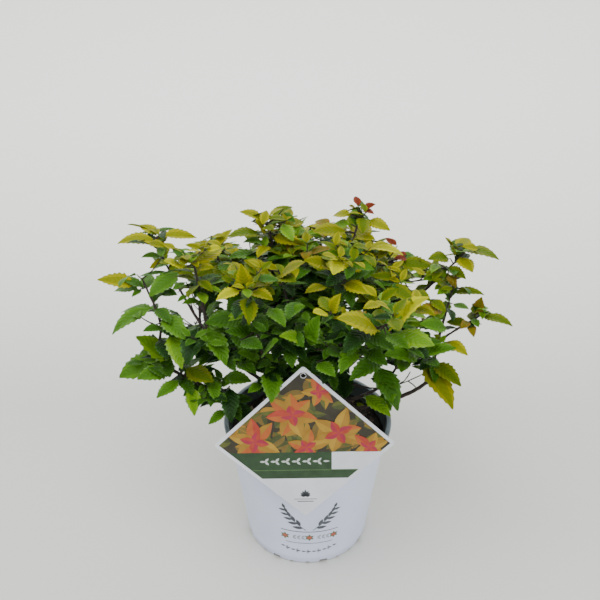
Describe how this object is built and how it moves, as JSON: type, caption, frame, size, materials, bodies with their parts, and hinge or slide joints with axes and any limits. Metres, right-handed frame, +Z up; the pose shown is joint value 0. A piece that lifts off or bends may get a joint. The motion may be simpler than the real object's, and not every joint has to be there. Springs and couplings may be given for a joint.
{
  "type": "potted spirea shrub",
  "caption": "Bushy young spirea shrub with toothed gold and green leaves on thin dark stems, in a round white nursery pot with a diamond picture label hooked over the rim.",
  "frame": {"origin": "centre of the pot's flat underside", "axes": "+Z up along the pot's axis, -Y towards the picture label, +X to the right when looking at the label"},
  "size_m": [0.4268, 0.3662, 0.4075],
  "materials": {
    "pot_plastic": "satin",
    "soil": "matte",
    "label_card": "satin",
    "clip_plastic": "satin",
    "bark": "matte",
    "leaves_gold": "satin",
    "leaves_lime": "satin",
    "leaves_green": "satin"
  },
  "bodies": {
    "root": {"pot": "pot_plastic", "potting_soil": "soil", "picture_label": "label_card", "label_clip": "clip_plastic", "stem_base": "bark", "bough_left_high": "bark", "bough_left_tip": "bark", "bough_left_bright": "bark", "bough_upper_left": "bark", "bough_top_left": "bark", "bough_top_right": "bark", "bough_front_gold": "bark", "bough_centre_left": "bark", "bough_front_right": "bark", "bough_right_high": "bark", "bough_right_tip": "bark", "bough_right_mid": "bark", "bough_back_left": "bark", "bough_back_far": "bark", "bough_back_high": "bark", "bough_back_right": "bark", "bough_low_right": "bark", "foliage_left_high": "leaves_gold", "foliage_left_bright": "leaves_gold", "foliage_left_tip": "leaves_lime", "foliage_left_mid": "leaves_lime", "foliage_left_low": "leaves_green", "foliage_left_inner": "leaves_lime", "foliage_left_foot": "leaves_green", "foliage_upper_left": "leaves_gold", "foliage_top_left": "leaves_gold", "foliage_top_right": "leaves_gold", "foliage_top_mid": "leaves_gold", "foliage_top_side": "leaves_gold", "foliage_front_gold": "leaves_gold", "foliage_centre_left": "leaves_gold", "foliage_centre_top": "leaves_gold", "foliage_centre_small": "leaves_gold", "foliage_front_right": "leaves_gold", "foliage_right_gold": "leaves_gold", "foliage_centre_green": "leaves_lime", "foliage_low_left": "leaves_green", "foliage_low_mid": "leaves_lime", "foliage_low_right": "leaves_green", "foliage_right_high": "leaves_gold", "foliage_right_inner": "leaves_lime", "foliage_right_mid": "leaves_lime", "foliage_right_tip": "leaves_lime", "foliage_right_bronze": "leaves_lime", "foliage_right_low": "leaves_green", "foliage_right_foot": "leaves_green", "foliage_rim_right": "leaves_green", "foliage_back_high": "leaves_lime", "foliage_back_far": "leaves_lime", "foliage_back_left": "leaves_lime", "foliage_back_right": "leaves_lime", "foliage_back_low": "leaves_green", "foliage_side_low_left": "leaves_green", "foliage_side_low_right": "leaves_green", "foliage_heart": "leaves_lime"}
  },
  "joints": []
}
